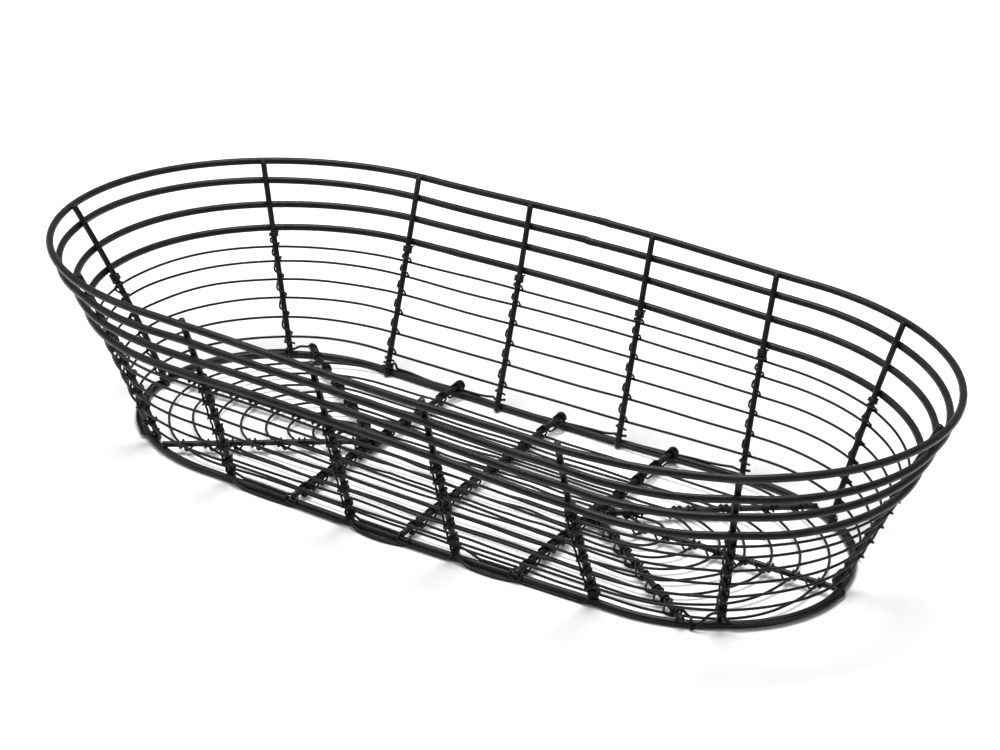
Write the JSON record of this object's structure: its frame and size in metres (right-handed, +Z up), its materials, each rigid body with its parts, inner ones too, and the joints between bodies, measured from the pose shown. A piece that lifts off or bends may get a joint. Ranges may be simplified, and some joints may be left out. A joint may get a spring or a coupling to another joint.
{
  "type": "bread basket",
  "caption": "Oblong open wire bread basket with sloping walls, stacked hoops near the rim, slanting uprights and fine wire rows bound to a grille base.",
  "frame": {"origin": "middle of the base, on the plane that the base ring rests on", "axes": "+Z up; +X along the length; +Y across the width"},
  "size_m": [0.38, 0.2, 0.0804],
  "materials": {
    "frame_wire": "satin black powder coat on steel wire",
    "row_wire": "satin black powder coat on fine steel wire",
    "binding_wire": "satin black coat on fine binding wire"
  },
  "bodies": {
    "root": {"rim_hoop": "frame_wire", "hoop_2": "frame_wire", "hoop_3": "frame_wire", "hoop_4": "frame_wire", "base_ring": "frame_wire", "upright_left_front": "frame_wire", "upright_left_middle": "frame_wire", "upright_left_back": "frame_wire", "upright_back_1": "frame_wire", "upright_back_2": "frame_wire", "upright_back_3": "frame_wire", "upright_back_4": "frame_wire", "upright_right_back": "frame_wire", "upright_right_middle": "frame_wire", "upright_right_front": "frame_wire", "upright_front_4": "frame_wire", "upright_front_3": "frame_wire", "upright_front_2": "frame_wire", "upright_front_1": "frame_wire", "crossbar_left": "frame_wire", "crossbar_middle": "frame_wire", "crossbar_right": "frame_wire", "spoke_left_front": "frame_wire", "spoke_left_middle": "frame_wire", "spoke_left_back": "frame_wire", "spoke_right_front": "frame_wire", "spoke_right_middle": "frame_wire", "spoke_right_back": "frame_wire", "side_row_1": "row_wire", "side_row_2": "row_wire", "side_row_3": "row_wire", "side_row_4": "row_wire", "side_row_5": "row_wire", "side_row_6": "row_wire", "base_row_1": "row_wire", "base_row_2": "row_wire", "base_row_3": "row_wire", "base_row_4": "row_wire", "base_row_5": "row_wire", "base_row_6": "row_wire", "base_row_7": "row_wire", "base_row_8": "row_wire", "base_lashing": "row_wire", "upright_bindings": "binding_wire", "crossbar_bindings": "binding_wire", "spoke_bindings": "binding_wire"}
  },
  "joints": []
}
